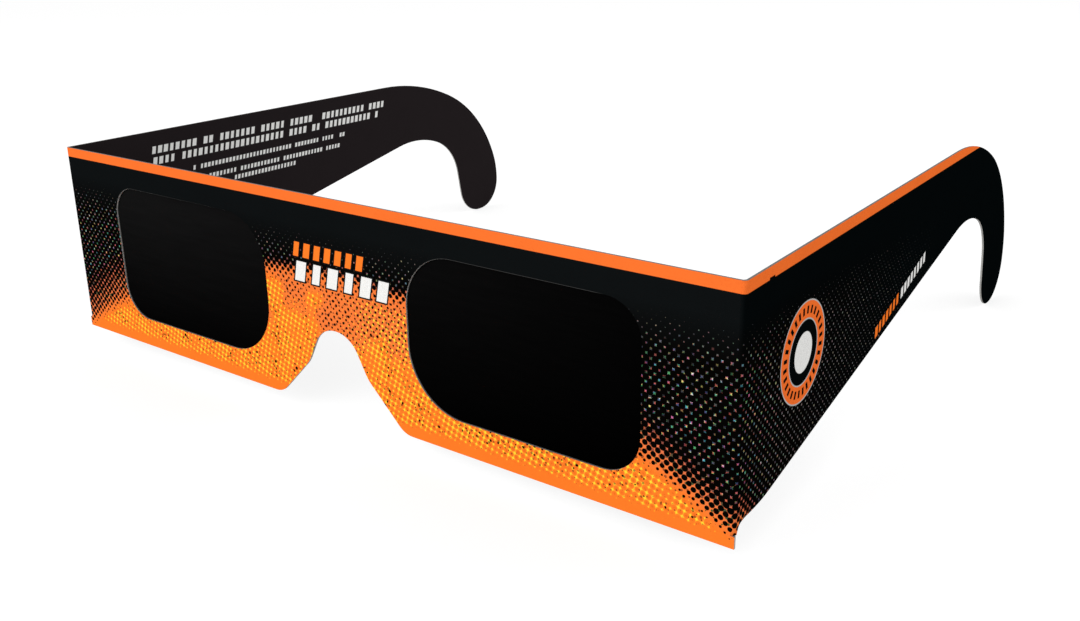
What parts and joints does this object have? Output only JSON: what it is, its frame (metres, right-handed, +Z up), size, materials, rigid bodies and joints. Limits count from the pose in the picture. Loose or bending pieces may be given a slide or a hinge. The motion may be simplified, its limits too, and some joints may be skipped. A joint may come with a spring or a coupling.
{
  "type": "eclipse glasses",
  "caption": "Paper eclipse glasses: a two-ply printed board front over two dark lens films, with board temples that fold at scored creases and end in ear hooks.",
  "frame": {"origin": "midway between the front's outer face and the ends of the ear hooks, on the centre line, level with the lowest points of the hooks", "axes": "+X towards the wearer's left, +Y from the front back towards the ears, +Z up; the front is upright and both temples are folded straight back"},
  "size_m": [0.15, 0.1386, 0.0419],
  "materials": {
    "printed_front": "satin print on white board: black over orange in a screen of dots",
    "rear_board": "matte black print on white board",
    "crease_board": "satin print over a scored fold",
    "printed_temple": "satin black print on white board, with an orange line along the top",
    "lens_film": "smooth dark polymer film",
    "set_glue": "dull set glue"
  },
  "bodies": {
    "front": {"front_panel": "printed_front", "rear_panel": "rear_board", "left_lens_film": "lens_film", "right_lens_film": "lens_film", "top_glue_strip": "set_glue", "bridge_glue_patch": "set_glue", "left_lower_glue_strip": "set_glue", "right_lower_glue_strip": "set_glue", "left_end_glue_strip": "set_glue", "right_end_glue_strip": "set_glue", "left_crease": "crease_board", "right_crease": "crease_board"},
    "left_temple": {"left_temple": "printed_temple"},
    "right_temple": {"right_temple": "printed_temple"}
  },
  "joints": [
    {"name": "left_temple_fold", "type": "hinge", "parent": "front", "child": "left_temple", "pos_m": [0.07433, -0.06858, 0.0237], "axis": [0, 0, 1], "range_deg": [-90, 90], "deforming": ["left_crease"]},
    {"name": "right_temple_fold", "type": "hinge", "parent": "front", "child": "right_temple", "pos_m": [-0.07433, -0.06858, 0.0237], "axis": [0, 0, -1], "range_deg": [-90, 85], "deforming": ["right_crease"]}
  ]
}
